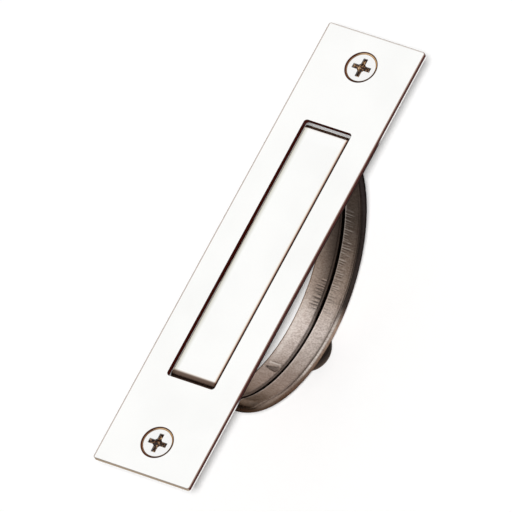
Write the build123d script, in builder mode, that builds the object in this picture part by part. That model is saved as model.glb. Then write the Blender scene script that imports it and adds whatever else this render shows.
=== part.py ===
from build123d import *
from math import cos, radians, sin, tan
import os

os.makedirs("parts", exist_ok=True)

# Flush hatch pull, in millimetres.
# The back of the faceplate lies in the plane z = 0 and its front faces +Z.
# The length of the faceplate runs along X, and the pull turns about an axis along Y.

# Faceplate
plate_length = 113.4
plate_width = 25.0
plate_thickness = 1.4
plate_corner_radius = 0.6
plate_edge_break = 0.15
opening_length = 66.6
opening_width = 12.4
opening_corner_radius = 0.8

# Mounting screws
screw_end_margin = 7.95
screw_diameter = 3.5
screw_length = 16.0
screw_tip_length = 4.0
screw_head_diameter = 6.7
screw_head_rim = 0.15
screw_seat_clearance = 0.05
screw_hole_clearance = 0.25
countersink_diameter = 7.6
countersink_angle = 90.0
recess_span = 4.0
recess_arm_width = 0.9
recess_root_break = 0.3
recess_depth = 1.3
recess_taper = 8.0

# Pull bar
bar_end_gap = 0.4
bar_side_gap = 0.4
bar_face_recess = 0.5
bar_end_round = 1.9
bar_edge_round = 0.5

# Pivot
pivot_drop = 2.9
pin_diameter = 2.5
pin_running_clearance = 0.05
pin_seat_clearance = 0.02
pin_head_overhang = 0.45
pin_head_height = 0.7
pin_head_bevel = 0.3
boss_wall = 2.3
boss_root_radius = 0.8
washer_wall = 0.6
washer_play = 0.05

# Pivot brackets
bracket_thickness = 1.0
bracket_bend_radius = 0.4
bracket_ear_wall = 2.1
bracket_ear_relief = 0.15
foot_gap = 7.0
foot_length = 4.5
foot_reach = 4.6

# Grip strap, a strip folded in along both edges and bent to a half ring
strap_end_inset = 0.4
strap_side_inset = 0.4
strap_sheet = 0.6
strap_depth = 1.9
strap_fold_bulge = 0.4
strap_slot_width = 1.1

# Ball weight, a half ball riveted on the strap a little to one side of its deepest point
ball_radius = 5.7
ball_angle = 5.6
ball_seat_clearance = 0.05
spigot_diameter = 4.0
spigot_clearance = 0.05

# Sizes and places that follow from the driving dimensions
bar_length = opening_length - 2 * bar_end_gap
bar_width = opening_width - 2 * bar_side_gap
bar_thickness = pivot_drop + plate_thickness - bar_face_recess
pivot_z = -pivot_drop
pivot_axis = Axis((0, 0, pivot_z), (0, 1, 0))
pin_radius = pin_diameter / 2
screw_spacing = plate_length - 2 * screw_end_margin
ear_inner_y = opening_width / 2
strap_outer_radius = bar_length / 2 - strap_end_inset
strap_inner_radius = strap_outer_radius - strap_depth
strap_width = bar_width - 2 * strap_side_inset
strap_hollow = strap_depth - 2 * strap_sheet
spigot_length = strap_sheet + strap_hollow / 2
ball_turn = radians(ball_angle)
ball_seat = Plane(
    origin=(-strap_outer_radius * sin(ball_turn), 0, pivot_z - strap_outer_radius * cos(ball_turn)),
    x_dir=(0, 1, 0),
    z_dir=(sin(ball_turn), 0, cos(ball_turn)),
)


with BuildPart() as faceplate:
    with BuildSketch():
        RectangleRounded(plate_length, plate_width, plate_corner_radius)
        RectangleRounded(opening_length, opening_width, opening_corner_radius, mode=Mode.SUBTRACT)
    extrude(amount=plate_thickness)
    chamfer(faceplate.faces().sort_by(Axis.Z)[-1].outer_wire().edges(), length=plate_edge_break)
    with Locations((0, 0, plate_thickness)):
        with GridLocations(screw_spacing, 0, 2, 1):
            CounterSinkHole(
                radius=screw_diameter / 2 + screw_hole_clearance,
                counter_sink_radius=countersink_diameter / 2,
                counter_sink_angle=countersink_angle,
            )

# The cone of each head lies in the countersink, a hair off its wall.
half_cone = radians(countersink_angle / 2)
head_radius = screw_head_diameter / 2
shank_radius = screw_diameter / 2
head_room = countersink_diameter / 2 - head_radius - screw_seat_clearance / cos(half_cone)
head_rim_z = plate_thickness - head_room / tan(half_cone)
head_top_z = head_rim_z + screw_head_rim
neck_z = head_rim_z - (head_radius - shank_radius) / tan(half_cone)
screw_end_z = head_top_z - screw_length

with BuildPart() as mounting_screws:
    with BuildSketch(Plane.XZ.shift_origin((screw_spacing / 2, 0, 0))):
        with BuildLine():
            Polyline(
                (0, screw_end_z),
                (shank_radius, screw_end_z + screw_tip_length),
                (shank_radius, neck_z),
                (head_radius, head_rim_z),
                (head_radius, head_top_z),
                (0, head_top_z),
                close=True,
            )
        make_face()
    revolve(axis=Axis((screw_spacing / 2, 0, 0), (0, 0, 1)))
    with BuildSketch(Plane.XY.offset(head_top_z)) as recess:
        with Locations((screw_spacing / 2, 0)):
            Rectangle(recess_span, recess_arm_width)
            Rectangle(recess_arm_width, recess_span)
        recess_roots = recess.vertices().sort_by_distance((screw_spacing / 2, 0, 0))[:4]
        chamfer(recess_roots, length=recess_root_break)
    extrude(amount=-recess_depth, taper=recess_taper, mode=Mode.SUBTRACT)
    mirror(about=Plane.YZ)

with BuildPart() as pull_bar:
    with BuildSketch(Plane.XZ) as bar_side:
        with Locations((0, pivot_z + bar_thickness / 2)):
            Rectangle(bar_length, bar_thickness)
        fillet(bar_side.vertices().group_by(Axis.Y)[-1], radius=bar_end_round)
    extrude(amount=bar_width / 2, both=True)
    with BuildSketch(Plane.YZ) as bar_section:
        with Locations((0, pivot_z + bar_thickness / 2)):
            Rectangle(bar_width, bar_thickness)
        fillet(bar_section.vertices().group_by(Axis.Y)[-1], radius=bar_edge_round)
    extrude(amount=bar_length / 2, both=True, mode=Mode.INTERSECT)
    boss_radius = pin_radius + boss_wall
    with BuildSketch(Plane.XZ):
        with Locations((0, pivot_z)):
            Circle(boss_radius)
        with Locations((0, pivot_z + boss_radius / 2)):
            Rectangle(2 * boss_radius, boss_radius, mode=Mode.SUBTRACT)
    extrude(amount=bar_width / 2, both=True)
    boss_corners = pull_bar.edges().filter_by(Axis.Y).filter_by_position(Axis.Z, pivot_z, pivot_z)
    fillet(boss_corners.filter_by_position(Axis.X, -boss_radius, boss_radius), radius=boss_root_radius)
    with BuildSketch(Plane.XZ):
        with Locations((0, pivot_z)):
            Circle(pin_radius + pin_running_clearance)
    extrude(amount=bar_width / 2, both=True, mode=Mode.SUBTRACT)

with BuildPart() as grip_strap:
    fold_y = strap_width / 2
    band_y = fold_y - strap_fold_bulge
    strip_x = strap_outer_radius - strap_depth / 2
    with BuildSketch(Plane.XY.offset(pivot_z)):
        with BuildLine():
            outer_band = Line((strap_outer_radius, -band_y), (strap_outer_radius, band_y))
            inner_band = Line((strap_inner_radius, band_y), (strap_inner_radius, -band_y))
            ThreePointArc(outer_band @ 1, (strip_x, fold_y), inner_band @ 0)
            ThreePointArc(inner_band @ 1, (strip_x, -fold_y), outer_band @ 0)
        make_face()
        with Locations((strip_x, 0)):
            Rectangle(strap_hollow, strap_width - 2 * strap_sheet, mode=Mode.SUBTRACT)
        with Locations((strap_inner_radius, 0)):
            Rectangle(2 * strap_sheet, strap_slot_width, mode=Mode.SUBTRACT)
    revolve(axis=pivot_axis, revolution_arc=180)
    with BuildSketch(ball_seat):
        Circle(spigot_diameter / 2 + spigot_clearance)
    extrude(amount=spigot_length, mode=Mode.SUBTRACT)

with BuildPart() as ball_weight:
    with Locations(ball_seat):
        Sphere(ball_radius)
    with Locations((0, 0, pivot_z)):
        Cylinder(
            strap_outer_radius + ball_seat_clearance,
            2 * ball_radius,
            rotation=(90, 0, 0),
            mode=Mode.SUBTRACT,
        )
    with BuildSketch(ball_seat.offset(-ball_radius / 2)):
        Circle(spigot_diameter / 2)
    extrude(amount=ball_radius / 2 + spigot_length)

with BuildPart() as pivot_pin:
    pin_reach = ear_inner_y + bracket_thickness
    with BuildSketch(Plane.XZ):
        with Locations((0, pivot_z)):
            Circle(pin_radius)
    extrude(amount=pin_reach, both=True)
    for side in (1, -1):
        with BuildSketch(Plane.XZ.offset(side * pin_reach)):
            with Locations((0, pivot_z)):
                Circle(pin_radius + pin_head_overhang)
        extrude(amount=side * pin_head_height)
    chamfer(pivot_pin.faces().sort_by(Axis.Y)[0].edges(), length=pin_head_bevel)
    chamfer(pivot_pin.faces().sort_by(Axis.Y)[-1].edges(), length=pin_head_bevel)

with BuildPart() as spacer_washers:
    with BuildSketch(Plane.XZ.offset(-bar_width / 2 - washer_play)):
        with Locations((0, pivot_z)):
            Circle(pin_radius + pin_running_clearance + washer_wall)
            Circle(pin_radius + pin_running_clearance, mode=Mode.SUBTRACT)
    extrude(amount=2 * washer_play - bar_side_gap)
    mirror(about=Plane.XZ)

with BuildPart() as pivot_bracket_left:
    ear_radius = pin_radius + bracket_ear_wall
    ear_half_length = foot_gap / 2 + foot_length
    foot_zone = bracket_thickness + bracket_bend_radius
    sheet_y = ear_inner_y + bracket_thickness / 2
    sheet_z = -bracket_thickness / 2
    ear_end_z = pivot_z - ear_radius
    bend_centreline = bracket_bend_radius + bracket_thickness / 2
    with BuildSketch(Plane.YZ):
        with BuildLine():
            FilletPolyline(
                (sheet_y, ear_end_z),
                (sheet_y, sheet_z),
                (ear_inner_y + foot_reach, sheet_z),
                radius=bend_centreline,
            )
        trace(line_width=bracket_thickness)
    extrude(amount=ear_half_length, both=True)
    with Locations((0, ear_inner_y + foot_reach / 2, -foot_zone / 2)):
        Box(foot_gap, foot_reach, foot_zone, mode=Mode.SUBTRACT)
    ear_top_height = foot_zone - bracket_ear_relief
    with Locations((0, sheet_y, -foot_zone + ear_top_height / 2)):
        Box(foot_gap, bracket_thickness, ear_top_height)
    with BuildSketch(Plane.XZ):
        with Locations((0, pivot_z)):
            Circle(ear_radius)
        with Locations((0, -foot_zone / 2)):
            Rectangle(2 * ear_half_length, foot_zone)
        make_hull()
    extrude(amount=-plate_width / 2, mode=Mode.INTERSECT)
    with BuildSketch(Plane.XZ):
        with Locations((0, pivot_z)):
            Circle(pin_radius + pin_seat_clearance)
    extrude(amount=-plate_width / 2, mode=Mode.SUBTRACT)

with BuildPart() as pivot_bracket_right:
    mirror(pivot_bracket_left.part, about=Plane.XZ)


faceplate.part.label = "faceplate"
mounting_screws.part.label = "mounting_screws"
pull_bar.part.label = "pull_bar"
grip_strap.part.label = "grip_strap"
ball_weight.part.label = "ball_weight"
pivot_pin.part.label = "pivot_pin"
spacer_washers.part.label = "spacer_washers"
pivot_bracket_left.part.label = "pivot_bracket_left"
pivot_bracket_right.part.label = "pivot_bracket_right"

export_step(faceplate.part, "parts/faceplate.step")
export_step(mounting_screws.part, "parts/mounting_screws.step")
export_step(pull_bar.part, "parts/pull_bar.step")
export_step(grip_strap.part, "parts/grip_strap.step")
export_step(ball_weight.part, "parts/ball_weight.step")
export_step(pivot_pin.part, "parts/pivot_pin.step")
export_step(spacer_washers.part, "parts/spacer_washers.step")
export_step(pivot_bracket_left.part, "parts/pivot_bracket_left.step")
export_step(pivot_bracket_right.part, "parts/pivot_bracket_right.step")
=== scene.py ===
import math
import random

import bpy
from mathutils import Matrix, Vector


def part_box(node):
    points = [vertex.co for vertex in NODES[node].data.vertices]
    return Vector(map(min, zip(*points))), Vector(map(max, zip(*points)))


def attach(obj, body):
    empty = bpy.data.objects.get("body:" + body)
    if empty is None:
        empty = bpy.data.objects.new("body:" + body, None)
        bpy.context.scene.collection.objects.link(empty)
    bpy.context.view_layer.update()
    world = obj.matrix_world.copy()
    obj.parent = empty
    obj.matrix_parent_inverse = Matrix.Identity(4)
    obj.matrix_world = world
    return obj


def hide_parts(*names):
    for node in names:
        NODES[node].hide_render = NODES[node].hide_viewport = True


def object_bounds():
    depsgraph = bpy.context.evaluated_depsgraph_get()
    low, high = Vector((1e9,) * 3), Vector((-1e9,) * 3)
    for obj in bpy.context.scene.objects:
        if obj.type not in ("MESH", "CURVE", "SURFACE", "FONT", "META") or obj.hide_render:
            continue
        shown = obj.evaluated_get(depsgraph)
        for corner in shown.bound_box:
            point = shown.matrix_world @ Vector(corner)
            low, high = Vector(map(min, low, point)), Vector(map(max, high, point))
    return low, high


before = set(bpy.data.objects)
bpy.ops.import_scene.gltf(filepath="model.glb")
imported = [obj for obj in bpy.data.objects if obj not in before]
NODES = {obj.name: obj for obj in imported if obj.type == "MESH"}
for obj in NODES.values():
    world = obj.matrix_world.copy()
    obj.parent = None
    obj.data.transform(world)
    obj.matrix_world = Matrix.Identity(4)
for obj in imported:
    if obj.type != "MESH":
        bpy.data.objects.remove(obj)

CAD_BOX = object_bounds()
MM = 0.001

# View of the photograph
VIEW_AZIMUTH = math.radians(-32.6)
VIEW_ELEVATION = math.radians(55.21)
VIEW_ROLL = math.radians(33.77)
VIEW_DISTANCE = 4.0
VIEW_FIELD = 0.1113
VIEW_SHIFT_RIGHT = 0.000748
VIEW_SHIFT_UP = 0.000407
VIEW_CLIP = 20.0
SENSOR = 36.0

# Sizes taken from the frame
PLATE_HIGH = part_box("faceplate")[1]
BAR_LOW, BAR_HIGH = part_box("pull_bar")
STRAP_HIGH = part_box("grip_strap")[1]
SCREW_LOW, SCREW_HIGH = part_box("mounting_screws")
PIVOT_Z = STRAP_HIGH.z
STRAP_OUTER_RADIUS = STRAP_HIGH.x
STRAP_HALF_WIDTH = STRAP_HIGH.y
SCREW_HEAD_RADIUS = SCREW_HIGH.y
SCREW_X = SCREW_HIGH.x - SCREW_HEAD_RADIUS

# Folded strip of the grip. Angles along it are degrees from its deepest point. A lip is width and drop.
QUARTER = 90.0
STRAP_DEPTH = 1.9 * MM
STRAP_SHEET = 0.6 * MM
SLOT_NEAR_Y = 0.5 * MM
SLOT_FAR_Y = 0.1 * MM
NEAR_LIP = (0.2 * MM, 0.2 * MM)
FAR_LIP = (0.7 * MM, 0.42 * MM)
LIP_INSIDE = 0.8 * STRAP_SHEET
FOLD_RADIUS = STRAP_DEPTH / 2
FOLD_WIDTH = 0.95 * MM
LIP_STEPS = 6
BAND_STEPS = 20
FOLD_STEPS = 22
BACK_STEPS = 5
COARSE_STEP = 0.45
FINE_STEP = 0.16
FINE_ZONES = ((-27.0, -18.0), (8.0, 56.0))
RELIEF_DEPTH = 0.4 * FOLD_RADIUS

# Crease beside the near fold, with painted shade in it, and the painted highlight on the slot's near edge
CREASE_Y = STRAP_HALF_WIDTH - FOLD_WIDTH
CREASE_DEPTH = 0.22 * MM
CREASE_WIDTH = 0.12 * MM
CREASE_SPACING = CREASE_WIDTH / 2
CREASE_STEPS = 3
CREASE_WIDENS = (0.0, 12.0)
CREASE_SHADE = 0.6
CREASE_DARKENS = (-4.0, 10.0)
EDGE_GLINT = 0.4
EDGE_GLINT_WIDTH = 0.18 * MM

# Stretches where the slot's far edge stands back: side, first and last angle, distance
SLOT_BACKS = (
    (-1, 18.0, 42.0, 0.28 * MM),
    (-1, 44.0, 54.0, 0.6 * MM),
    (1, 0.0, 10.0, 0.22 * MM),
)
SLOT_BACK_FADE = (0.3 * MM, 2.2 * MM)
SLOT_BACK_DEPTH = 1.1 * STRAP_SHEET

# Corner of the near fold, which opens out towards the strip's end
FLARE_START = -38.0
FLARE_LEAD = 2.0
FLARE_FADE = 8.0
FLARE_SPAN = 15.0
FLARE_Y = 0.7 * MM
FLARE_WIDTH = 3.6 * MM
FLARE_POWER = 2.5
FLARE_RISE = 0.6
FLARE_DEPTH = 0.9 * MM

# Bending marks across the strip: side, first and last angle, pitch (degrees), depth
BENDING_MARKS = (
    (-1, 9.5, 17.5, 0.95, 0.07 * MM),
    (-1, 18.5, 54.0, 1.0, 0.08 * MM),
    (1, 9.5, 21.5, 0.95, 0.07 * MM),
)
MARK_SEED = 7
MARK_STRAY = 0.35
MARK_SLANT = 0.4
MARK_LENGTHS = (0.55, 1.0)
MARK_DEPTHS = (0.4, 1.0)
MARK_WIDTH = 0.28
MARK_LIMIT = 4 * MARK_WIDTH
MARK_FLANK = 1.7 * MARK_WIDTH
MARK_REACH = (0.6 * MM, 3.6 * MM)
MARK_FADE_IN = 0.3 * MM
MARK_FADE_OUT = 1.2 * MM
MARK_FULL_DEPTH = 0.08 * MM
MARK_WANES = (36.0, 50.0)
MARK_WANE = 0.6
# Painted shade in each mark and a painted highlight on its flank
MARK_SHADE = 0.95
MARK_FLANK_HIGHLIGHT = 0.75

# Dent on the far band, and the ridge beside it: painted shade in the dent and just past the ridge, a
# painted highlight on the ridge
DENT_ANGLE = -23.4
DENT_WIDTH = 1.7
DENT_TAPER = 0.85
DENT_FLATNESS = 4
DENT_DEPTH = 0.26 * MM
DENT_RIDGE_ANGLE = -20.5
DENT_RIDGE_WIDTH = 0.35
DENT_RIDGE_HEIGHT = 0.1 * MM
DENT_REACH = (0.75 * MM, 4.1 * MM)
DENT_FADE_IN = 0.3 * MM
DENT_FADE_OUT = 0.5 * MM
DENT_SHADE = 0.7
DENT_FALL_SHADE = 0.5

# Painted shade on the far band, at the slot and towards one end, and a painted highlight line beside the
# fold
SLOT_SHADE = 0.75
SLOT_SHADE_FADE = (0.15 * MM, 0.95 * MM)
END_SHADES = ((0.6, 0.0, 16.0), (0.25, 20.0, 36.0))
END_SHADE_FADE = (0.8 * MM, 4.4 * MM)
BRIGHT_LINE = 0.45
BRIGHT_LINE_FROM = (-24.0, -10.0)
BRIGHT_LINE_TO = (4.0, 22.0)
BRIGHT_LINE_Y = 3.9 * MM
BRIGHT_LINE_WIDTH = 0.5 * MM

# Screw thread and cross recess
THREAD_RADIUS = 1.75 * MM
THREAD_ROOT = 1.2 * MM
THREAD_PITCH = 1.3 * MM
THREAD_TOP = -4.5 * MM
THREAD_RUN_OUT = 0.6 * MM
THREAD_RIDGE = 0.32
TIP_LENGTH = 4.0 * MM
TIP_RADIUS = 0.02 * MM
HEAD_RIM = 0.15 * MM
HEAD_BREAK = 0.05 * MM
HEAD_MIDDLE = 0.005 * MM
CONE_SHANK = 0.6
RECESS_SPAN = 4.6 * MM
RECESS_ARM = 1.1 * MM
RECESS_CORE = 1.9
RECESS_DEPTH = 1.3 * MM
RECESS_END_DEPTH = 0.5 * MM
RECESS_WALL = 0.12 * MM
RECESS_SHADE = (0.05 * MM, 0.2 * MM)
SCREW_COLUMNS = 160
SHANK_STEPS = 170
CONE_STEPS = 6
FACE_STEPS = 56

# Shared by the pieces and by the finishes
SHARP_ANGLE = math.radians(50)
NOISE_ROUGHNESS = 0.55

# Plating of the faceplate and the bar. A spread is its two limits, and the values that it takes there.
CLOUD_SCALE = 60
CLOUD_SPREAD = (0.35, 0.75, 1.0, 0.965)
CLOUD_TINT = (1.0, 1.0, 0.99)
POLISH_SCALE = 9000
POLISH_STRETCH = (0.03, 1.0, 1.0)
POLISH_SPREAD = (0.3, 0.7, 0.8, 1.25)
POLISH_DEPTH = 0.004 * MM
FRONT_ROUGHNESS = (0.75, 0.98, 0.36, 0.1)
DULL_SPECULAR = 0.05
END_TURN = 0.05
END_REACH = 4 * MM
END_FADE = 1 * MM

# Colour of the plating from the walls (0.5) over the broken or rounded edges to the front (1.0). The brown
# and red of the walls are partly their own colour and partly painted shade, which deepens from the front
# over the edges and differs between the sides and the ends.
FRONT_COLOUR = (0.985, 0.985, 0.98)
BACK_COLOURS = ((0.0, (0.42, 0.39, 0.36)), (1.0, FRONT_COLOUR), (0.3, (0.3, 0.25, 0.22)))
PLATE_SIDES = (
    (0.47, (0.055, 0.007, 0.004)),
    (0.76, (0.08, 0.014, 0.009)),
    (0.84, (0.5, 0.34, 0.27)),
    (0.96, (0.9, 0.89, 0.88)),
)
PLATE_ENDS = (
    (0.47, (0.5, 0.41, 0.32)),
    (0.84, (0.5, 0.43, 0.38)),
    (0.96, (0.9, 0.89, 0.88)),
)
BAR_SIDES = (
    (0.47, (0.1, 0.055, 0.04)),
    (0.68, (0.3, 0.22, 0.18)),
    (0.85, (0.7, 0.63, 0.56)),
    (0.965, (0.93, 0.915, 0.9)),
)
BAR_ENDS = (
    (0.47, (0.03, 0.015, 0.01)),
    (0.75, (0.09, 0.055, 0.042)),
    (0.853, (0.15, 0.097, 0.075)),
    (0.933, (0.22, 0.152, 0.12)),
    (0.97, (0.31, 0.22, 0.175)),
    (0.988, (0.5, 0.4, 0.34)),
    (0.997, (0.86, 0.8, 0.75)),
)
BAR_FAR_END = (
    (0.47, (0.1, 0.07, 0.05)),
    (0.82, (0.16, 0.11, 0.08)),
    (0.9, (0.45, 0.36, 0.28)),
    (0.95, (0.8, 0.74, 0.67)),
    (0.98, (0.93, 0.91, 0.89)),
)

# Painted shade across the bar, from its face (0.0) to its long edges (1.0)
BAR_NEAR_FADE = 1 * MM
BAR_NEAR_EDGE = (
    (0.0, (1.0, 1.0, 1.0)),
    (1.0, (0.12, 0.04, 0.03)),
    (0.25, (0.97, 0.955, 0.93)),
    (0.45, (0.82, 0.72, 0.63)),
    (0.6, (0.5, 0.33, 0.25)),
    (0.75, (0.24, 0.105, 0.08)),
)
BAR_FAR_FADE = 1.5 * MM
BAR_FAR_EDGE = (
    (0.0, (1.0, 1.0, 1.0)),
    (1.0, (0.2, 0.16, 0.13)),
    (0.2, (0.93, 0.935, 0.915)),
    (0.4, (0.8, 0.8, 0.76)),
    (0.65, (0.69, 0.67, 0.6)),
    (0.85, (0.58, 0.54, 0.47)),
)
# Painted shade on the bar's far rounded edge, greyer and less metallic
BAR_FAR_ROUNDING_SHADE = (0.7, 0.66, 0.6)
FAR_ROUNDING_ACROSS = (0.25, 0.5)
FAR_ROUNDING_UP = (0.1, 0.3)

# Rim and outer walls of the faceplate: painted shade along the far rim, and painted shade on the walls'
# pale feet beside the strip
FAR_RIM = 0.3 * MM
FAR_RIM_SHADE = (0.62, 0.55, 0.51)
FAR_RIM_END_SHARE = 0.5
RIM_FADE = 0.1 * MM
WALL_TURN = (0.4, 0.2)
OUTER_WALL = 2 * MM
OUTER_WALL_FADE = 1 * MM
PALE_WALL = 0.42 * MM
PALE_WALL_COLOUR = (0.95, 0.94, 0.93)
SHADED_WALL_COLOUR = (0.05, 0.04, 0.037)
SHADED_WALL_FADE = 3 * MM

# Countersinks of the faceplate, painted shade from the screw's head (0.0) to the rim (1.0), with a painted
# glint
SEAT_RADIUS = 3.8 * MM
SEAT_WIDTH = 0.4 * MM
SEAT_COLOURS = (
    (0.0, (0.5, 0.3, 0.17)),
    (1.0, (0.065, 0.012, 0.006)),
    (0.3, (0.36, 0.2, 0.11)),
    (0.55, (0.12, 0.03, 0.016)),
)
SEAT_GLINT_COLOUR = (1.0, 0.72, 0.42)
SEAT_GLINT_TOWARD = (0.9, -0.43)
SEAT_GLINT_LEAN = (0.2, 0.8)
SEAT_GLINT_INSET = (0.14 * MM, 0.22 * MM)

# Strip: painted light from one end over the middle (0.5) to the other, a painted highlight about the middle
# and painted shade towards the ends
STRIP_LIGHT_AND_SHADE = (
    (0.0, (0.08, 0.06, 0.048)),
    (1.0, (0.06, 0.045, 0.037)),
    (0.22, (0.34, 0.265, 0.215)),
    (0.33, (0.4, 0.315, 0.27)),
    (0.375, (0.41, 0.33, 0.285)),
    (0.42, (0.58, 0.495, 0.445)),
    (0.5, (0.93, 0.825, 0.765)),
    (0.545, (0.96, 0.84, 0.765)),
    (0.58, (0.8, 0.665, 0.575)),
    (0.62, (0.72, 0.585, 0.495)),
    (0.667, (0.44, 0.345, 0.285)),
    (0.722, (0.24, 0.19, 0.157)),
    (0.778, (0.11, 0.086, 0.071)),
    (0.833, (0.09, 0.07, 0.058)),
)

# Strip: layers over its painted light, by share of a quarter turn and share of the way round a fold.
# Streaks, speckle and grain vary at random; the fold, mark and flare layers are painted highlight or
# painted shade.
HIGHLIGHT_TURN_FROM = (-0.3, -0.17)
HIGHLIGHT_TURN_TO = (0.14, 0.06)
HIGHLIGHT_ROUND_FROM = (0.05, 0.12)
HIGHLIGHT_ROUND_TO = (0.36, 0.24)
LIP_HIGHLIGHT_COLOUR = (1.0, 0.93, 0.87)
FOLD_SIDE_ROUND = (0.17, 0.34, 0.0, 0.9)
FOLD_SIDE_SHADE = (0.36, 0.28, 0.225)
SHADED_ROUND = (0.04, 0.1)
SHADED_TURN = (0.04, 0.17, 0.0, 0.94)
SHADED_COLOUR = (0.036, 0.029, 0.028)
FAR_FOLD_ROUND = (0.0, 0.22)
FAR_FOLD_SHADE = (0.42, 0.37, 0.32)
STREAK_SCALE = 900
STREAK_STRETCH = (1.0, 0.2, 1.0)
STREAK_SPREAD = (0.4, 0.75, 0.0, 0.22)
STREAK_TINT = (0.3, 0.235, 0.2)
SPECKLE_SCALE = 3300
SPECKLE_STRETCH = (1.0, 0.6, 1.0)
SPECKLE_SPREAD = (0.38, 0.66, 0.0, 0.5)
SPECKLE_TINT = (0.42, 0.34, 0.29)
# Colours of the painted shade and painted highlight that the mark attribute carries
MARK_SHADE_COLOUR = (0.05, 0.036, 0.03)
MARK_SHADE_SPREAD = (0.0, 1.0, 0.0, 0.85)
MARK_HIGHLIGHT_COLOUR = (1.0, 0.92, 0.85)
MARK_HIGHLIGHT_SPREAD = (0.0, -1.0, 0.0, 0.7)
FLARE_SHADE = (0.09, 0.065, 0.05)
FLARE_SHARE = 0.85
INSIDE_COLOUR = (0.14, 0.105, 0.085)
GRAIN_SCALE = 2600
GRAIN_STRETCH = (1.0, 0.15, 1.0)
GRAIN_ROUGHNESS = (0.25, 0.75, 0.3, 0.44)
GRAIN_DEPTH = 0.02 * MM

# Ball
PATINA_SCALE = 260
PATINA_COLOURS = (
    (0.3, (0.045, 0.029, 0.02)),
    (0.7, (0.105, 0.068, 0.047)),
    (0.5, (0.07, 0.045, 0.031)),
)
# Painted shade where the ball goes into the strip
SUNK_SHADE = (0.02, 0.0145, 0.0125)
SUNK_FADE = 2.8 * MM
PIT_SCALE = 1800
PIT_ROUGHNESS = (0.3, 0.7, 0.6, 0.8)
PIT_DEPTH = 0.03 * MM
BALL_SPECULAR = 0.04

# Drawn and rolled metal: dark and light of its lines, and their stretch
PIN_STEEL = ((0.42, 0.41, 0.39), (0.62, 0.61, 0.58), (1.0, 0.08, 1.0))
WASHER_BRASS = ((0.5, 0.38, 0.2), (0.68, 0.55, 0.32), (1.0, 1.0, 1.0))
BRACKET_STEEL = ((0.4, 0.37, 0.34), (0.58, 0.54, 0.5), (0.08, 1.0, 1.0))
DRAWN_SCALE = 2200
DRAWN_LIMITS = (0.3, 0.7)
DRAWN_ROUGHNESS = (0.25, 0.75, 0.28, 0.44)
DRAWN_DEPTH = 0.01 * MM
STAIN_SCALE = 240
STAIN_SPREAD = (0.45, 0.8, 0.0, 0.45)
STAIN_TINT = (0.34, 0.26, 0.2)

# Screws
HEAD_COLOURS = ((0.3, (0.9, 0.895, 0.885)), (0.7, (0.95, 0.95, 0.945)))
HEAD_SCALE = 5000
HEAD_ROUGHNESS = (0.3, 0.7, 0.12, 0.2)
HEAD_DEPTH = 0.004 * MM
SHANK_COLOUR = (0.5, 0.48, 0.45)
SHANK_ROUGHER = 0.18
MOTTLE_SCALE = 1700
# Brown in the cross recess, mottled with painted shade and painted glints
RECESS_SHADE_AND_GLINTS = (
    (0.45, (0.014, 0.005, 0.003)),
    (0.74, (0.9, 0.7, 0.46)),
    (0.54, (0.08, 0.03, 0.014)),
    (0.63, (0.4, 0.24, 0.115)),
)
RECESS_METAL = (0.0, 1.0, 1.0, 0.35)

# Floor and light. A glow is its direction, the angles where its fade starts and ends, and its colour.
FLOOR_RADIUS = 6.0
FLOOR_SIDES = 64
FLOOR_GAP = 0.2 * MM
FLOOR_COLOUR = (0.94, 0.94, 0.94, 1.0)
FLOOR_ROUGHNESS = 0.9
FLOOR_GLOW = (1.0, 1.0, 1.0, 1.0)
FLOOR_LIFT = 0.06
ROOM_COLOURS = ((0.0, (0.16, 0.13, 0.115)), (1.0, (0.42, 0.4, 0.39)), (0.5, (0.26, 0.235, 0.22)))
GLOWS = (
    (Vector((0.3, -0.85, 0.3)), math.radians(25), math.radians(80), (0.7, 0.69, 0.68)),
    (Vector((-0.9, 0.1, 0.25)), math.radians(20), math.radians(50), (0.55, 0.54, 0.53)),
    (Vector((-0.45, 0.8, 0.3)), math.radians(15), math.radians(45), (0.62, 0.61, 0.6)),
    (Vector((0.0, 0.0, 1.0)), math.radians(12), math.radians(28), (0.85, 0.845, 0.84)),
    (Vector((0.75, 0.48, 0.45)), math.radians(40), math.radians(64), (1.0, 1.0, 1.0)),
)
DIFFUSE_SHARE = 0.3
KEY_FROM = Vector((-0.374, -0.56, 1.0))
KEY_STRENGTH = 3.0
KEY_ANGLE = math.radians(3)


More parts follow.
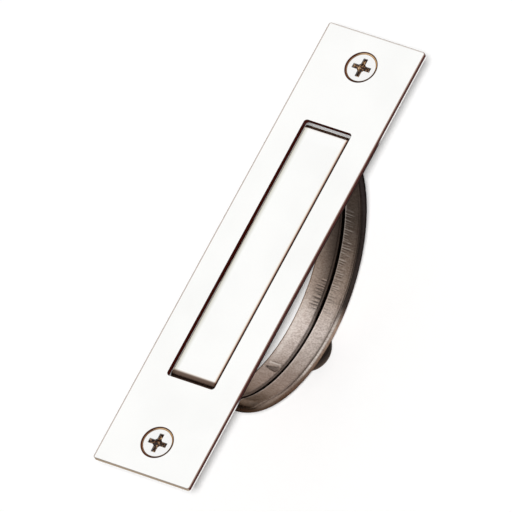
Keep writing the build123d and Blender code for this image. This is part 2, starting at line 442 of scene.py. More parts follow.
class Shading:
    """A tree of shader nodes, with short calls for the nodes that the finishes and the room share."""

    def __init__(self, tree):
        self.tree = tree

    def add(self, kind, **settings):
        node = self.tree.nodes.new(kind)
        for key, value in settings.items():
            setattr(node, key, value)
        return node

    def feed(self, value, socket):
        """Links a socket, or sets a plain value."""
        if isinstance(value, bpy.types.NodeSocket):
            self.tree.links.new(value, socket)
        else:
            socket.default_value = value

    def coordinate(self, kind):
        return self.add("ShaderNodeTexCoord").outputs[kind]

    def axes(self, vector):
        node = self.add("ShaderNodeSeparateXYZ")
        self.feed(vector, node.inputs[0])
        return node.outputs

    def number(self, operation, first, second=0.0):
        node = self.add("ShaderNodeMath", operation=operation)
        self.feed(first, node.inputs[0])
        self.feed(second, node.inputs[1])
        return node.outputs[0]

    def size(self, value):
        """The value without its sign."""
        return self.number("ABSOLUTE", value)

    def times(self, first, second):
        return self.number("MULTIPLY", first, second)

    def rest(self, share):
        """What a share leaves of 1."""
        return self.number("SUBTRACT", 1.0, share)

    def length(self, first, second):
        squares = self.number("ADD", self.number("POWER", first, 2.0), self.number("POWER", second, 2.0))
        return self.number("SQRT", squares)

    def spread(self, value, low, high, to_low=0.0, to_high=1.0, smooth=True):
        """Goes from one value at the low limit to another at the high one, and stays there beyond."""
        node = self.add("ShaderNodeMapRange", interpolation_type="SMOOTHSTEP" if smooth else "LINEAR")
        for key, number in (("From Min", low), ("From Max", high), ("To Min", to_low), ("To Max", to_high)):
            node.inputs[key].default_value = number
        self.feed(value, node.inputs["Value"])
        return node.outputs["Result"]

    def ramp(self, value, stops):
        """Colour by value. The first two stops are those that a new ramp has."""
        node = self.add("ShaderNodeValToRGB")
        points = node.color_ramp.elements
        for index, (position, colour) in enumerate(stops):
            point = points[index] if index < 2 else points.new(position)
            point.position = position
            point.color = (*colour, 1.0)
        self.feed(value, node.inputs[0])
        return node.outputs["Color"]

    def blend(self, factor, first, second, mode="MIX"):
        node = self.add("ShaderNodeMix", data_type="RGBA", blend_type=mode)
        for value, socket in ((factor, node.inputs[0]), (first, node.inputs[6]), (second, node.inputs[7])):
            self.feed((*value, 1.0) if isinstance(value, tuple) else value, socket)
        return node.outputs[2]


class Finish(Shading):
    """A procedural material."""

    def __init__(self, name):
        self.material = bpy.data.materials.new(name)
        self.material.use_nodes = True
        super().__init__(self.material.node_tree)
        self.shader = self.tree.nodes["Principled BSDF"]

    def set(self, **values):
        for key, value in values.items():
            self.feed(value, self.shader.inputs[key.replace("_", " ")])

    def place(self):
        return self.axes(self.coordinate("Object"))

    def facing(self):
        return self.axes(self.coordinate("Normal"))

    def level(self):
        """0 on the back, 0.5 on the walls and 1 on the front."""
        return self.spread(self.facing()["Z"], -1.0, 1.0, smooth=False)

    def noise(self, scale, detail, stretch=(1, 1, 1)):
        mapping = self.add("ShaderNodeMapping")
        mapping.inputs["Scale"].default_value = stretch
        self.feed(self.coordinate("Object"), mapping.inputs["Vector"])
        node = self.add("ShaderNodeTexNoise")
        self.feed(mapping.outputs[0], node.inputs["Vector"])
        node.inputs["Scale"].default_value = scale
        node.inputs["Detail"].default_value = detail
        node.inputs["Roughness"].default_value = NOISE_ROUGHNESS
        return node.outputs["Fac"]

    def attribute(self, name):
        return self.add("ShaderNodeAttribute", attribute_name=name).outputs["Fac"]

    def relief(self, height, distance, strength):
        node = self.add("ShaderNodeBump")
        node.inputs["Distance"].default_value = distance
        node.inputs["Strength"].default_value = strength
        self.feed(height, node.inputs["Height"])
        self.feed(node.outputs["Normal"], self.shader.inputs["Normal"])


def polished_finish(name, sides, ends, half_length):
    """Bright plating, edges and walls of brown and red that are partly their own colour and partly painted
    shade, and a dull back: gives the finish, its colour and its end walls.
    """
    finish = Finish(name)
    facing = finish.facing()
    level = finish.level()
    endwise = finish.number("SUBTRACT", finish.size(facing["X"]), finish.size(facing["Y"]))
    near_end = finish.spread(
        finish.size(finish.place()["X"]), half_length - END_REACH, half_length - END_REACH + END_FADE)
    end = finish.times(finish.spread(endwise, -END_TURN, END_TURN), near_end)
    side_colour = finish.ramp(level, BACK_COLOURS + sides)
    end_colour = finish.ramp(level, BACK_COLOURS + ends)
    cloud = finish.spread(finish.noise(CLOUD_SCALE, detail=4.0), *CLOUD_SPREAD)
    clouding = finish.add("ShaderNodeCombineColor")
    for channel, tint in enumerate(CLOUD_TINT):
        finish.feed(finish.times(cloud, tint), clouding.inputs[channel])
    colour = finish.blend(1.0, finish.blend(end, side_colour, end_colour), clouding.outputs[0], "MULTIPLY")
    lines = finish.noise(POLISH_SCALE, detail=2.0, stretch=POLISH_STRETCH)
    front = finish.spread(facing["Z"], *FRONT_ROUGHNESS)
    roughness = finish.times(front, finish.spread(lines, *POLISH_SPREAD))
    finish.set(Roughness=roughness, Specular_IOR_Level=DULL_SPECULAR)
    finish.relief(lines, POLISH_DEPTH, strength=0.25)
    return finish, colour, end


def seat_colour(finish, place):
    """Colour of the countersinks, brown and dark red painted shade with a painted gold glint to one side,
    and where they lie.
    """
    screw_x = finish.times(finish.number("SIGN", place["X"]), SCREW_X)
    from_screw = finish.number("SUBTRACT", place["X"], screw_x)
    reach = finish.length(from_screw, place["Y"])
    glint_x, glint_y = SEAT_GLINT_TOWARD
    toward = finish.number("ADD", finish.times(from_screw, glint_x), finish.times(place["Y"], glint_y))
    lean = finish.spread(finish.number("DIVIDE", toward, reach), *SEAT_GLINT_LEAN)
    inset = [SEAT_RADIUS - distance for distance in SEAT_GLINT_INSET]
    across = finish.spread(reach, SEAT_RADIUS - SEAT_WIDTH, SEAT_RADIUS, smooth=False)
    glint = finish.times(lean, finish.spread(reach, *inset))
    colour = finish.blend(glint, finish.ramp(across, SEAT_COLOURS), SEAT_GLINT_COLOUR)
    return colour, finish.spread(reach, SEAT_RADIUS + RIM_FADE, SEAT_RADIUS)


def plate_finish():
    """The faceplate's plating: a painted shade line on its far rim, dark red walls of partly painted shade
    with pale feet, brown seats of painted shade.
    """
    finish, colour, end = polished_finish("polished_plate", PLATE_SIDES, PLATE_ENDS, PLATE_HIGH.x)
    place = finish.place()
    from_middle = finish.size(place["X"])
    rim_y = PLATE_HIGH.y - FAR_RIM
    rim_x = PLATE_HIGH.x - FAR_RIM
    # Painted shade along the far rim
    far_rim = finish.number(
        "MAXIMUM",
        finish.spread(place["Y"], rim_y - RIM_FADE, rim_y),
        finish.spread(place["X"], rim_x - RIM_FADE, rim_x, 0.0, FAR_RIM_END_SHARE))
    colour = finish.blend(far_rim, colour, FAR_RIM_SHADE, "MULTIPLY")
    upright = finish.spread(finish.size(finish.facing()["Z"]), *WALL_TURN)
    low = finish.spread(place["Z"], PALE_WALL + RIM_FADE, PALE_WALL - RIM_FADE)
    outer_y = PLATE_HIGH.y - OUTER_WALL
    outer_x = PLATE_HIGH.x - OUTER_WALL
    outer = finish.number(
        "MAXIMUM",
        finish.spread(finish.size(place["Y"]), outer_y, outer_y + OUTER_WALL_FADE),
        finish.spread(from_middle, outer_x, outer_x + OUTER_WALL_FADE))
    pale = finish.times(low, outer)
    beside = finish.spread(from_middle, STRAP_OUTER_RADIUS, STRAP_OUTER_RADIUS + SHADED_WALL_FADE)
    pale_colour = finish.blend(beside, SHADED_WALL_COLOUR, PALE_WALL_COLOUR)
    colour = finish.blend(finish.times(pale, upright), colour, pale_colour)
    lacquer = finish.times(upright, finish.rest(finish.number("MAXIMUM", pale, end)))
    seat, in_seat = seat_colour(finish, place)
    colour = finish.blend(in_seat, colour, seat)
    finish.set(Base_Color=colour, Specular_Tint=colour, Metallic=finish.rest(lacquer))
    return finish.material


def bar_finish():
    """The bar's plating: brown ends with painted shade, and painted shade as a brown line along the near
    edge and grey on the far rounded edge.
    """
    finish, colour, end = polished_finish("polished_bar", BAR_SIDES, BAR_ENDS, STRAP_OUTER_RADIUS)
    facing = finish.facing()
    place = finish.place()
    far_end = finish.times(end, finish.spread(place["X"], 0.0, END_FADE))
    colour = finish.blend(far_end, colour, finish.ramp(finish.level(), BACK_COLOURS + BAR_FAR_END))
    # Painted shade along the bar's long edges: a brown line on the near one, grey on the far one
    near = finish.spread(place["Y"], BAR_LOW.y + BAR_NEAR_FADE, BAR_LOW.y, smooth=False)
    far = finish.spread(place["Y"], BAR_HIGH.y - BAR_FAR_FADE, BAR_HIGH.y, smooth=False)
    colour = finish.blend(1.0, colour, finish.ramp(near, BAR_NEAR_EDGE), "MULTIPLY")
    colour = finish.blend(1.0, colour, finish.ramp(far, BAR_FAR_EDGE), "MULTIPLY")
    # Painted shade on the far rounded edge, which is also made less metallic
    far_rounding_shade = finish.times(
        finish.spread(facing["Y"], *FAR_ROUNDING_ACROSS), finish.spread(facing["Z"], *FAR_ROUNDING_UP))
    colour = finish.blend(far_rounding_shade, colour, BAR_FAR_ROUNDING_SHADE)
    finish.set(Base_Color=colour, Specular_Tint=colour, Metallic=finish.rest(far_rounding_shade))
    return finish.material


def strip_finish():
    """Satin folded strip, brown, with a painted highlight in the middle of the grip and painted shade
    towards its ends.
    """
    finish = Finish("bare_strip")
    turn = finish.attribute("turn")
    # Painted highlight about the middle of the grip, painted shade towards its ends
    tone = finish.ramp(finish.spread(turn, -1.0, 1.0, smooth=False), STRIP_LIGHT_AND_SHADE)
    near_round = finish.attribute("near_fold")
    # Painted highlight on the near fold, about the middle of the grip
    highlight_turn = finish.times(
        finish.spread(turn, *HIGHLIGHT_TURN_FROM), finish.spread(turn, *HIGHLIGHT_TURN_TO))
    highlight_round = finish.times(
        finish.spread(near_round, *HIGHLIGHT_ROUND_FROM), finish.spread(near_round, *HIGHLIGHT_ROUND_TO))
    tone = finish.blend(finish.times(highlight_round, highlight_turn), tone, LIP_HIGHLIGHT_COLOUR)
    # Painted shade on the outer side of the near fold
    tone = finish.blend(finish.spread(near_round, *FOLD_SIDE_ROUND), tone, FOLD_SIDE_SHADE, "MULTIPLY")
    shaded = finish.times(finish.spread(near_round, *SHADED_ROUND), finish.spread(turn, *SHADED_TURN))
    tone = finish.blend(shaded, tone, SHADED_COLOUR)
    # Painted shade on the far fold
    far_round = finish.attribute("far_fold")
    tone = finish.blend(finish.spread(far_round, *FAR_FOLD_ROUND), tone, FAR_FOLD_SHADE, "MULTIPLY")
    streaks = finish.noise(STREAK_SCALE, detail=4.0, stretch=STREAK_STRETCH)
    tone = finish.blend(finish.spread(streaks, *STREAK_SPREAD), tone, STREAK_TINT, "MULTIPLY")
    speckle = finish.noise(SPECKLE_SCALE, detail=3.0, stretch=SPECKLE_STRETCH)
    tone = finish.blend(finish.spread(speckle, *SPECKLE_SPREAD), tone, SPECKLE_TINT, "MULTIPLY")
    # The mark attribute holds painted shade above 0 and painted highlight below 0, from the marks, crease,
    # dent, slot and far band
    mark = finish.attribute("mark")
    tone = finish.blend(finish.spread(mark, *MARK_SHADE_SPREAD, smooth=False), tone, MARK_SHADE_COLOUR)
    tone = finish.blend(finish.spread(mark, *MARK_HIGHLIGHT_SPREAD, smooth=False), tone, MARK_HIGHLIGHT_COLOUR)
    # Painted shade where the near fold opens out at the strip's end
    tone = finish.blend(finish.times(finish.attribute("flare"), FLARE_SHARE), tone, FLARE_SHADE)
    tone = finish.blend(finish.attribute("inside"), tone, INSIDE_COLOUR)
    grain = finish.noise(GRAIN_SCALE, detail=4.0, stretch=GRAIN_STRETCH)
    roughness = finish.spread(grain, *GRAIN_ROUGHNESS)
    finish.set(Base_Color=tone, Specular_Tint=tone, Metallic=1.0, Roughness=roughness)
    finish.relief(grain, GRAIN_DEPTH, strength=0.5)
    return finish.material


def ball_finish():
    """Dull dark brown casting with fine pits, with painted shade where it goes into the strip."""
    finish = Finish("dark_ball")
    colour = finish.ramp(finish.noise(PATINA_SCALE, detail=5.0), PATINA_COLOURS)
    place = finish.place()
    reach = finish.length(place["X"], finish.number("SUBTRACT", place["Z"], PIVOT_Z))
    sunk = finish.spread(reach, STRAP_OUTER_RADIUS + SUNK_FADE, STRAP_OUTER_RADIUS)
    colour = finish.blend(sunk, colour, SUNK_SHADE)
    pits = finish.noise(PIT_SCALE, detail=4.0)
    roughness = finish.spread(pits, *PIT_ROUGHNESS)
    finish.set(Base_Color=colour, Specular_IOR_Level=BALL_SPECULAR, Roughness=roughness)
    finish.relief(pits, PIT_DEPTH, strength=0.4)
    return finish.material


def drawn_finish(name, dark, light, stretch):
    """Satin drawn or rolled metal with fine lines along it."""
    finish = Finish(name)
    lines = finish.noise(DRAWN_SCALE, detail=4.0, stretch=stretch)
    stain = finish.noise(STAIN_SCALE, detail=4.0)
    colour = finish.ramp(lines, tuple(zip(DRAWN_LIMITS, (dark, light))))
    colour = finish.blend(finish.spread(stain, *STAIN_SPREAD), colour, STAIN_TINT, "MULTIPLY")
    finish.set(Base_Color=colour, Metallic=1.0, Roughness=finish.spread(lines, *DRAWN_ROUGHNESS))
    finish.relief(lines, DRAWN_DEPTH, strength=0.4)
    return finish.material


def screw_finish():
    """Bright head, brown in the cross recess mottled with painted shade and painted glints, grey steel on
    the thread.
    """
    finish = Finish("screw_metal")
    recess = finish.attribute("recess")
    shank = finish.attribute("shank")
    lines = finish.noise(HEAD_SCALE, detail=3.0)
    colour = finish.blend(shank, finish.ramp(lines, HEAD_COLOURS), SHANK_COLOUR)
    mottle = finish.noise(MOTTLE_SCALE, detail=2.0)
    colour = finish.blend(recess, colour, finish.ramp(mottle, RECESS_SHADE_AND_GLINTS))
    roughness = finish.number(
        "ADD", finish.spread(lines, *HEAD_ROUGHNESS), finish.times(shank, SHANK_ROUGHER))
    finish.set(Base_Color=colour, Metallic=finish.spread(recess, *RECESS_METAL), Roughness=roughness)
    finish.relief(lines, HEAD_DEPTH, strength=0.3)
    return finish.material


def ease(value, low, high):
    """0 below low, 1 above high, smooth between."""
    share = min(max((value - low) / (high - low), 0.0), 1.0)
    return share * share * (3 - 2 * share)


def bump(value, centre, width):
    """A round hump of height 1."""
    return math.exp(-(((value - centre) / width) ** 2))


def add_piece(name, points, faces, material, body, node, attributes):
    """A mesh that rides on a body and stands in for a node. Attributes hold a value for each point."""
    mesh = bpy.data.meshes.new(name)
    mesh.from_pydata(points, [], faces)
    mesh.shade_smooth()
    mesh.set_sharp_from_angle(angle=SHARP_ANGLE)
    for key, values in attributes.items():
        layer = mesh.attributes.new(key, "FLOAT", "POINT")
        layer.data.foreach_set("value", values)
    mesh.materials.append(material)
    piece = bpy.data.objects.new(name, mesh)
    bpy.context.scene.collection.objects.link(piece)
    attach(piece, body)
    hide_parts(node)


def tube_faces(rings, columns, start=0):
    """Quads over rings of points, with a flat face across each end."""
    faces = []
    for ring in range(rings - 1):
        low = start + ring * columns
        high = low + columns
        for column in range(columns):
            after = (column + 1) % columns
            faces.append((low + column, low + after, high + after, high + column))
    last = start + (rings - 1) * columns
    faces.append(tuple(range(start, start + columns))[::-1])
    faces.append(tuple(range(last, last + columns)))
    return faces


def strap_half_section(slot_y, lip):
    """Points (y, depth) of one half of the strip's outside, from the slot to the middle of the back."""
    lip_width, lip_drop = lip
    points = [(slot_y, LIP_INSIDE)]
    for step in range(LIP_STEPS + 1):
        angle = math.pi / 2 * step / LIP_STEPS
        points.append((slot_y + lip_width * (1 - math.cos(angle)), lip_drop * (1 - math.sin(angle))))
    band_start = slot_y + lip_width
    band_width = CREASE_Y - (CREASE_STEPS + 1) * CREASE_SPACING - band_start
    for step in range(1, BAND_STEPS + 1):
        points.append((band_start + band_width * step / BAND_STEPS, 0))
    for step in range(-CREASE_STEPS, CREASE_STEPS + 1):
        points.append((CREASE_Y + CREASE_SPACING * step, 0))
    # The fold's first step is left out, because it lies within the crease.
    for step in range(2, FOLD_STEPS + 1):
        angle = math.pi * step / FOLD_STEPS
        points.append((CREASE_Y + FOLD_WIDTH * math.sin(angle), FOLD_RADIUS * (1 - math.cos(angle))))
    for step in range(1, BACK_STEPS):
        points.append((CREASE_Y * (1 - step / BACK_STEPS), STRAP_DEPTH))
    return points


def strap_section():
    """Closed outline (y, depth, inside) of the folded strip, with a rolled edge on the slot's far side."""
    far = strap_half_section(SLOT_FAR_Y, FAR_LIP)
    near = strap_half_section(SLOT_NEAR_Y, NEAR_LIP)
    outside = [(y, depth, 0.0) for y, depth in far]
    outside.append((0.0, STRAP_DEPTH, 0.0))
    outside += [(-y, depth, 0.0) for y, depth in reversed(near)]
    inner_y = STRAP_HALF_WIDTH - STRAP_SHEET
    floor = STRAP_DEPTH - STRAP_SHEET
    hollow = [(-SLOT_NEAR_Y, STRAP_SHEET), (-inner_y, STRAP_SHEET), (-inner_y, floor)]
    hollow += [(inner_y, floor), (inner_y, STRAP_SHEET), (SLOT_FAR_Y, STRAP_SHEET)]
    return outside + [(y, depth, 1.0) for y, depth in hollow]


def slot_shift(angle, y):
    """How far the far edge of the slot stands back there."""
    back = sum(distance * ease(side * angle, first, last) for side, first, last, distance in SLOT_BACKS)
    return back * (1 - ease(y, *SLOT_BACK_FADE))


def bending_marks():
    """Side, angle, slant, reach and depth of each mark that the bending left across the strip."""
    chance = random.Random(MARK_SEED)
    marks = []
    for side, first, last, pitch, depth in BENDING_MARKS:
        count = int((last - first) / pitch) + 1
        for step in range(count):
            angle = first + pitch * step + chance.uniform(-MARK_STRAY, MARK_STRAY)
            slant = chance.uniform(-MARK_SLANT, MARK_SLANT)
            reach = chance.uniform(*MARK_LENGTHS)
            marks.append((side, angle, slant, reach, depth * chance.uniform(*MARK_DEPTHS)))
    return marks


def fold_flare(angle, y):
    """0 on the flat of the near fold, rising to 1 past its rounded corner at the strip's end."""
    if y > 0 or angle > FLARE_START + FLARE_LEAD:
        return 0.0
    along = max(FLARE_START - angle, 0.0) / FLARE_SPAN
    across = max(-y - FLARE_Y, 0.0) / FLARE_WIDTH
    past = (along ** FLARE_POWER + across ** FLARE_POWER) ** (1 / FLARE_POWER) - 1
    return ease(past, 0.0, FLARE_RISE) * ease(FLARE_START - angle, -FLARE_LEAD, FLARE_FADE)


def crease_relief(angle, across):
    """Sink and painted shade of the crease beside the near fold, and the painted highlight on the slot's
    near edge.
    """
    crease = bump(across, CREASE_Y, CREASE_WIDTH * (1 + ease(angle, *CREASE_WIDENS)))
    glint = bump(across, SLOT_NEAR_Y + NEAR_LIP[0], EDGE_GLINT_WIDTH)
    dark = CREASE_SHADE + (1 - CREASE_SHADE) * ease(angle, *CREASE_DARKENS)
    return CREASE_DEPTH * crease, dark * crease - EDGE_GLINT * glint


def mark_relief(angle, across, side, marks):
    """Sink of the bending marks, with painted shade in each and a painted highlight on its flank."""
    sink, tone = 0.0, 0.0
    low, high = MARK_REACH
    if not low < across < high:
        return sink, tone
    wane = 1 - MARK_WANE * ease(angle, *MARK_WANES)
    for mark_side, mark_angle, slant, reach, depth in marks:
        away = angle - mark_angle - slant * (across - low) / (high - low)
        if mark_side == side and abs(away) < MARK_LIMIT:
            end = low + (high - low) * reach
            window = ease(across, low, low + MARK_FADE_IN) * (1 - ease(across, end - MARK_FADE_OUT, end))
            weight = window * wane * depth / MARK_FULL_DEPTH
            share = weight * bump(away, 0.0, MARK_WIDTH)
            sink += depth * share
            tone += MARK_SHADE * share - MARK_FLANK_HIGHLIGHT * weight * bump(away, MARK_FLANK, MARK_WIDTH)
    return sink, tone


def dent_relief(angle, across):
    """Sink of the wedge-shaped dent on the far band and of the ridge beside it, with painted shade in the
    dent and just past the ridge and a painted highlight on the ridge.
    """
    low, high = DENT_REACH
    share = min(max((across - low) / (high - low), 0.0), 1.0)
    window = ease(across, low, low + DENT_FADE_IN) * (1 - ease(across, high - DENT_FADE_OUT, high))
    width = DENT_WIDTH * (1 - DENT_TAPER * share)
    dent = window * math.exp(-(((angle - DENT_ANGLE) / width) ** DENT_FLATNESS))
    ridge = window * bump(angle, DENT_RIDGE_ANGLE, DENT_RIDGE_WIDTH)
    fall = window * bump(angle, DENT_RIDGE_ANGLE + 2 * DENT_RIDGE_WIDTH, DENT_RIDGE_WIDTH)
    sink = DENT_DEPTH * dent - DENT_RIDGE_HEIGHT * ridge
    return sink, DENT_SHADE * (dent - ridge) + DENT_FALL_SHADE * fall


def far_band_shading(angle, across):
    """Painted light on the far band: painted shade at the slot and towards one end, with a painted
    highlight line beside the fold.
    """
    slot = SLOT_SHADE * (1 - ease(across, *SLOT_SHADE_FADE))
    end = sum(share * ease(angle, first, last) for share, first, last in END_SHADES)
    line = BRIGHT_LINE * ease(angle, *BRIGHT_LINE_FROM) * (1 - ease(angle, *BRIGHT_LINE_TO))
    line *= bump(across, BRIGHT_LINE_Y, BRIGHT_LINE_WIDTH)
    return slot + end * (1 - ease(across, *END_SHADE_FADE)) - line


def strap_relief(angle, y, marks):
    """How far the band sinks there, and its painted light: above 0 for painted shade, below 0 for a painted
    highlight.
    """
    across = abs(y)
    side = 1 if y > 0 else -1
    mark_sink, tone = mark_relief(angle, across, side, marks)
    if side > 0:
        sink, dark = dent_relief(angle, across)
        tone += far_band_shading(angle, across)
    else:
        sink, dark = crease_relief(angle, across)
    return mark_sink + sink, min(max(tone + dark, -1.0), 1.0)


def strap_angles():
    """Angles of the sections, closer together where the strip is marked."""
    angles = [-QUARTER]
    while angles[-1] < QUARTER:
        fine = any(low <= angles[-1] < high for low, high in FINE_ZONES)
        angles.append(min(angles[-1] + (FINE_STEP if fine else COARSE_STEP), QUARTER))
    return angles


def make_strap():
    """The half ring: the folded section, swept about the pivot."""
    section = strap_section()
    marks = bending_marks()
    angles = strap_angles()
    inner_radius = STRAP_OUTER_RADIUS - STRAP_DEPTH
    points = []
    attributes = {"turn": [], "mark": [], "inside": [], "near_fold": [], "far_fold": [], "flare": []}
    for angle in angles:
        reach_x = math.sin(math.radians(angle))
        reach_z = math.cos(math.radians(angle))
        for y, depth, inside in section:
            sink, tone = 0.0, 0.0
            if not inside and depth < RELIEF_DEPTH:
                sink, tone = strap_relief(angle, y, marks)
            flare = fold_flare(angle, y) * (1 - ease(depth, STRAP_SHEET, STRAP_DEPTH - STRAP_SHEET))
            radius = inner_radius + depth + sink + FLARE_DEPTH * flare
            shift = slot_shift(angle, y) if y > 0 and depth < SLOT_BACK_DEPTH else 0.0
            points.append((radius * reach_x, y + shift, PIVOT_Z - radius * reach_z))
            fold = math.acos(1 - depth / FOLD_RADIUS) / math.pi if abs(y) > CREASE_Y else 0.0
            near_fold = fold if y < 0 else 0.0
            # The tone, kept as the mark attribute, is painted shade above 0 and painted highlight below 0
            values = (angle / QUARTER, tone, inside, near_fold, fold - near_fold, flare)
            for layer, value in zip(attributes.values(), values):
                layer.append(value)
    faces = tube_faces(len(angles), len(section))
    add_piece(
        "folded_grip_strap", points, faces, strip_finish(), "pull", "grip_strap", attributes)


def recess_depth(x, y):
    """Depth of the cross recess at a point of the head, measured from the screw's axis."""
    half_span, half_arm = RECESS_SPAN / 2, RECESS_ARM / 2
    inside = max(
        min(half_span - abs(x), half_arm - abs(y)),
        min(half_span - abs(y), half_arm - abs(x)),
        half_arm * RECESS_CORE - (abs(x) + abs(y)) / math.sqrt(2),
    )
    share = ease(inside, 0, RECESS_WALL)
    slope = min(math.hypot(x, y) / half_span, 1.0)
    return share * (RECESS_DEPTH + (RECESS_END_DEPTH - RECESS_DEPTH) * slope)


def thread_radius(z, angle, end_z):
    """Radius of the threaded shank, with a tapered gimlet tip."""
    taper = min((z - end_z) / TIP_LENGTH, 1.0)
    turn = ((z - end_z) / THREAD_PITCH - angle / (2 * math.pi)) % 1.0
    ridge = max(1 - abs(turn - 0.5) / THREAD_RIDGE, 0.0)
    plain = ease(z, THREAD_TOP - THREAD_RUN_OUT, THREAD_TOP)
    root = THREAD_ROOT + (THREAD_RADIUS - THREAD_ROOT) * plain
    crest = root + (THREAD_RADIUS - root) * ridge * (1 - plain)
    return max(crest * taper, TIP_RADIUS)


def screw_rings():
    """Rings of (radius, angle, z, recess, shank) from the tip, up the shank and over the head."""
    end_z, top_z = SCREW_LOW.z, SCREW_HIGH.z
    neck_z = top_z - HEAD_RIM - (SCREW_HEAD_RADIUS - THREAD_RADIUS)
    face_radius = SCREW_HEAD_RADIUS - HEAD_BREAK
    angles = [2 * math.pi * column / SCREW_COLUMNS for column in range(SCREW_COLUMNS)]
    rings = []
    for step in range(SHANK_STEPS + 1):
        z = end_z + (neck_z - end_z) * step / SHANK_STEPS
        rings.append([(thread_radius(z, angle, end_z), angle, z, 0.0, 1.0) for angle in angles])
    for step in range(1, CONE_STEPS + 1):
        radius = THREAD_RADIUS + (SCREW_HEAD_RADIUS - THREAD_RADIUS) * step / CONE_STEPS
        z = neck_z + radius - THREAD_RADIUS
        rings.append([(radius, angle, z, 0.0, CONE_SHANK) for angle in angles])
    rings.append([(SCREW_HEAD_RADIUS, angle, top_z - HEAD_BREAK, 0.0, 0.0) for angle in angles])
    rings.append([(face_radius, angle, top_z, 0.0, 0.0) for angle in angles])
    for step in range(1, FACE_STEPS + 1):
        radius = face_radius * (1 - step / FACE_STEPS) + HEAD_MIDDLE
        ring = []
        for angle in angles:
            depth = recess_depth(radius * math.cos(angle), radius * math.sin(angle))
            ring.append((radius, angle, top_z - depth, ease(depth, *RECESS_SHADE), 0.0))
        rings.append(ring)
    return rings


def make_screws():
    """The two wood screws, as one group."""
    rings = screw_rings()
    points, faces = [], []
    attributes = {"recess": [], "shank": []}
    for side in (1, -1):
        faces += tube_faces(len(rings), SCREW_COLUMNS, len(points))
        for ring in rings:
            for radius, angle, z, in_recess, on_shank in ring:
                points.append((side * SCREW_X + radius * math.cos(angle), radius * math.sin(angle), z))
                attributes["recess"].append(in_recess)
                attributes["shank"].append(on_shank)
    add_piece(
        "wood_screws", points, faces, screw_finish(), "base", "mounting_screws", attributes)


def dress_nodes():
    """Finishes of the nodes that are shown as they come from the frame."""
    finishes = {
        "faceplate": plate_finish(),
        "pull_bar": bar_finish(),
        "ball_weight": ball_finish(),
        "pivot_pin": drawn_finish("pin_steel", *PIN_STEEL),
        "spacer_washers": drawn_finish("washer_brass", *WASHER_BRASS),
    }
    bracket = drawn_finish("bracket_steel", *BRACKET_STEEL)
    finishes["pivot_bracket_left"] = bracket
    finishes["pivot_bracket_right"] = bracket
    for name, material in finishes.items():
        NODES[name].material_slots[0].material = material


def view_axes():
    """Right, up and back of the camera, in the part's frame."""
    level = math.cos(VIEW_ELEVATION)
    back = Vector((
        math.sin(VIEW_AZIMUTH) * level,
        -math.cos(VIEW_AZIMUTH) * level,
        math.sin(VIEW_ELEVATION),
    ))
    side = Vector((math.cos(VIEW_AZIMUTH), math.sin(VIEW_AZIMUTH), 0))
    rise = back.cross(side)
    up = rise * math.cos(VIEW_ROLL) + side * math.sin(VIEW_ROLL)
    right = side * math.cos(VIEW_ROLL) - rise * math.sin(VIEW_ROLL)
    return right, up, back


def make_camera():
    """A long lens that looks at the middle of the faceplate's front."""
    right, up, back = view_axes()
    face_centre = Vector((0, 0, PLATE_HIGH.z))
    target = face_centre - right * VIEW_SHIFT_RIGHT - up * VIEW_SHIFT_UP
    data = bpy.data.cameras.new("camera")
    data.sensor_width = SENSOR
    data.lens = SENSOR * VIEW_DISTANCE / VIEW_FIELD
    data.clip_end = VIEW_CLIP
    camera = bpy.data.objects.new("camera", data)
    turn = Matrix((right, up, back)).transposed().to_4x4()
    camera.matrix_world = Matrix.Translation(target + back * VIEW_DISTANCE) @ turn
    bpy.context.scene.collection.objects.link(camera)
    bpy.context.scene.camera = camera


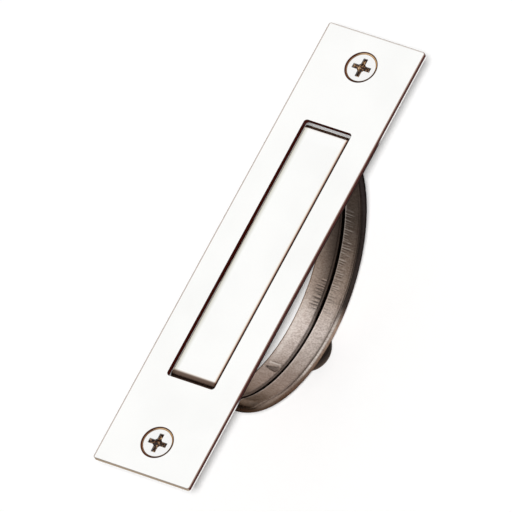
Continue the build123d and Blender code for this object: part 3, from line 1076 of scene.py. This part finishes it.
def make_floor():
    """A white floor under the ball, lifted a little where it is seen, that keeps the part's shadow."""
    floor_z = CAD_BOX[0][2] - FLOOR_GAP
    points = []
    for side in range(FLOOR_SIDES):
        angle = 2 * math.pi * side / FLOOR_SIDES
        points.append((FLOOR_RADIUS * math.cos(angle), FLOOR_RADIUS * math.sin(angle), floor_z))
    mesh = bpy.data.meshes.new("floor")
    mesh.from_pydata(points, [], [tuple(range(FLOOR_SIDES))])
    finish = Finish("floor")
    finish.set(Base_Color=FLOOR_COLOUR, Roughness=FLOOR_ROUGHNESS, Specular_IOR_Level=0.0)
    path = finish.add("ShaderNodeLightPath")
    seen = finish.number("MAXIMUM", path.outputs["Is Camera Ray"], path.outputs["Is Glossy Ray"])
    seen = finish.number("MAXIMUM", seen, path.outputs["Is Transmission Ray"])
    finish.set(Emission_Color=FLOOR_GLOW, Emission_Strength=finish.times(seen, FLOOR_LIFT))
    mesh.materials.append(finish.material)
    floor = bpy.data.objects.new("floor", mesh)
    bpy.context.scene.collection.objects.link(floor)


def make_world():
    """A dim warm room with one broad white glow and four duller ones."""
    world = bpy.data.worlds.new("studio")
    world.use_nodes = True
    room = Shading(world.node_tree)
    direction = room.coordinate("Generated")
    sky = room.ramp(room.axes(direction)["Z"], ROOM_COLOURS)
    for centre, full, fade, colour in GLOWS:
        toward = room.add("ShaderNodeVectorMath", operation="DOT_PRODUCT")
        room.feed(direction, toward.inputs[0])
        room.feed(centre.normalized(), toward.inputs[1])
        sky = room.blend(room.spread(toward.outputs["Value"], math.cos(fade), math.cos(full)), sky, colour)
    diffuse = room.add("ShaderNodeLightPath").outputs["Is Diffuse Ray"]
    background = room.tree.nodes["Background"]
    room.feed(sky, background.inputs["Color"])
    strength = room.spread(diffuse, 0.0, 1.0, 1.0, DIFFUSE_SHARE, smooth=False)
    room.feed(strength, background.inputs["Strength"])
    bpy.context.scene.world = world


def make_key():
    """A soft key lamp from the camera's side, which puts the part's shadow behind it."""
    data = bpy.data.lights.new("key", "SUN")
    data.energy = KEY_STRENGTH
    data.angle = KEY_ANGLE
    key = bpy.data.objects.new("key", data)
    key.rotation_mode = "QUATERNION"
    key.rotation_quaternion = KEY_FROM.to_track_quat("Z", "Y")
    key.visible_glossy = False
    bpy.context.scene.collection.objects.link(key)


bpy.context.scene.view_settings.view_transform = "Standard"
make_strap()
make_screws()
dress_nodes()
make_floor()
make_world()
make_key()
make_camera()
